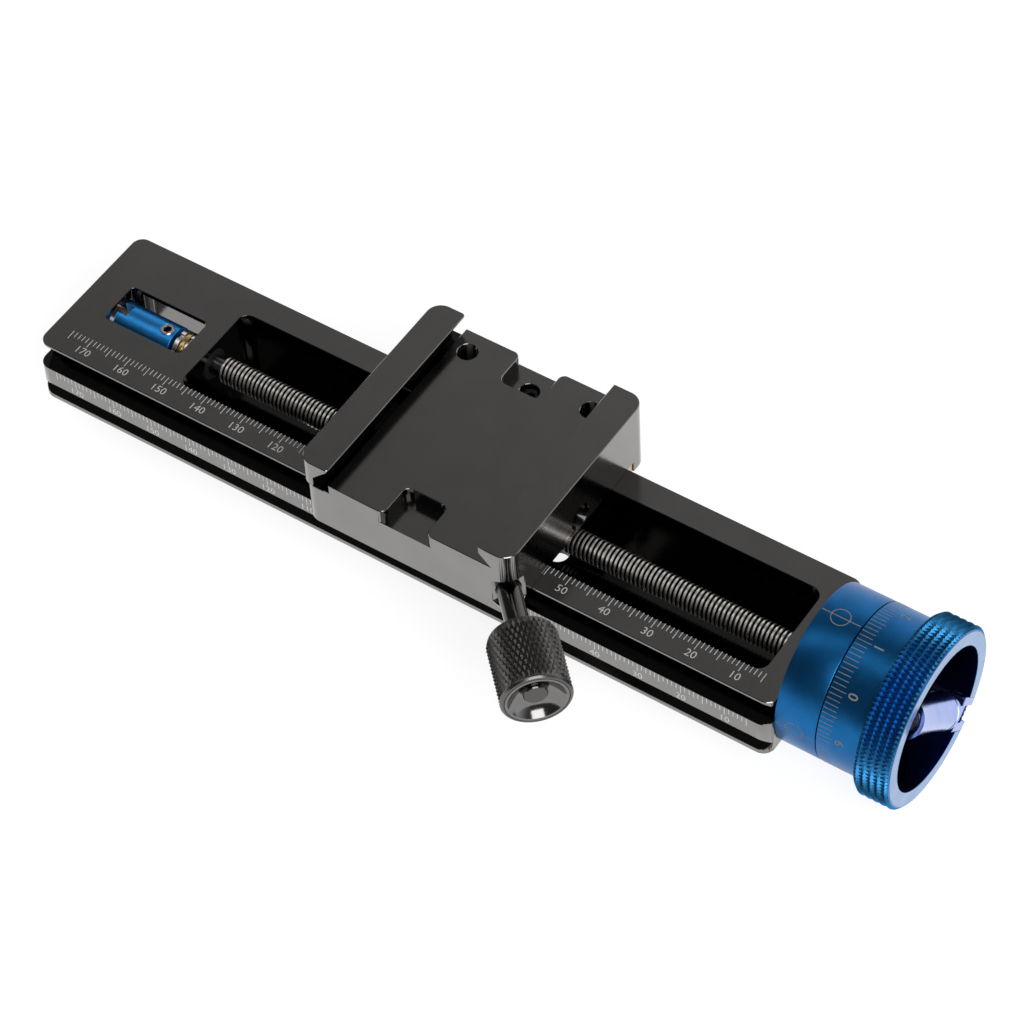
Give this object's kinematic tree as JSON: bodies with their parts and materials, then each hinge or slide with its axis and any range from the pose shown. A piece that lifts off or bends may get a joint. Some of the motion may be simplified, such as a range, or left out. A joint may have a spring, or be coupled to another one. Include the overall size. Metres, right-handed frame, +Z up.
{
  "type": "macro focusing rail",
  "caption": "Focusing rail: a carriage with a plate clamp runs on a slotted dovetail bed, driven by a leadscrew and a dial knob with a fold-out crank.",
  "frame": {"origin": "centre of the large tripod thread in the bed's flat underside", "axes": "+X along the bed towards the dial knob, +Z up through the plate clamp"},
  "size_m": [0.2082, 0.0718, 0.0402],
  "materials": {
    "black_anodised": "fine satin anodising",
    "blue_anodised": "satin anodising",
    "pale_anodised": "satin anodising",
    "stainless": "turned",
    "bronze": "turned",
    "black_plastic": "machined"
  },
  "bodies": {
    "base": {"rail": "black_anodised", "front_bush": "bronze", "rear_bush": "black_plastic", "ball_bearing": "stainless", "collar": "blue_anodised", "collar_screws": "stainless"},
    "drive": {"leadscrew": "stainless", "coupling": "blue_anodised", "coupling_screw": "stainless", "lock_nut": "stainless", "brass_ring": "bronze", "steel_ring": "stainless", "dial_knob": "blue_anodised", "hub_washer": "stainless", "hub_screw": "stainless", "crank_bracket": "pale_anodised", "crank_pin": "stainless"},
    "crank": {"crank_link": "pale_anodised", "axle_screw": "stainless"},
    "crank_handle": {"crank_grip": "pale_anodised"},
    "carriage": {"carriage_block": "black_anodised", "gib": "bronze", "gib_screws": "stainless", "feed_nut": "black_plastic", "nut_screws": "stainless", "stop_screw": "stainless"},
    "jaw": {"moving_jaw": "black_anodised", "draw_bar": "stainless", "jaw_screw": "stainless"},
    "clamp_plunger": {"clamp_cone": "stainless"},
    "clamp_handle": {"clamp_screw": "black_anodised", "clamp_knob": "black_anodised", "knob_cap": "black_anodised"}
  },
  "joints": [
    {"name": "drive_turn", "type": "hinge", "parent": "base", "child": "drive", "pos_m": [0, 0, 0.01005], "axis": [1, 0, 0], "range_deg": [-18539, 16739]},
    {"name": "carriage_slide", "type": "slide", "parent": "base", "child": "carriage", "axis": [1, 0, 0], "range_m": [-0.0465, 0.0515]},
    {"name": "crank_fold", "type": "hinge", "parent": "drive", "child": "crank", "pos_m": [0.11391, 0.01086, -0.00101], "axis": [0, 0.7133, 0.7009], "range_deg": [0, 90]},
    {"name": "crank_spin", "type": "hinge", "parent": "crank", "child": "crank_handle", "pos_m": [0.11391, 0, 0.01005], "axis": [0, -0.7009, 0.7133], "continuous": true},
    {"name": "clamp_advance", "type": "slide", "parent": "carriage", "child": "clamp_plunger", "axis": [-0.7071, 0.7071, 0], "range_m": [0, 0.0031]},
    {"name": "clamp_turn", "type": "hinge", "parent": "clamp_plunger", "child": "clamp_handle", "pos_m": [0.03475, -0.0247, 0.0185], "axis": [-0.7071, 0.7071, 0], "range_deg": [0, 1394.9]},
    {"name": "jaw_slide", "type": "slide", "parent": "carriage", "child": "jaw", "axis": [1, 0, 0], "range_m": [0, 0.0031]}
  ],
  "couplings": [
    {"joint": "carriage_slide", "follows": "drive_turn", "m_per_rad": -0.00015915},
    {"joint": "clamp_advance", "follows": "clamp_turn", "m_per_rad": 0.00012732},
    {"joint": "jaw_slide", "follows": "clamp_turn", "m_per_rad": 0.00012732}
  ]
}
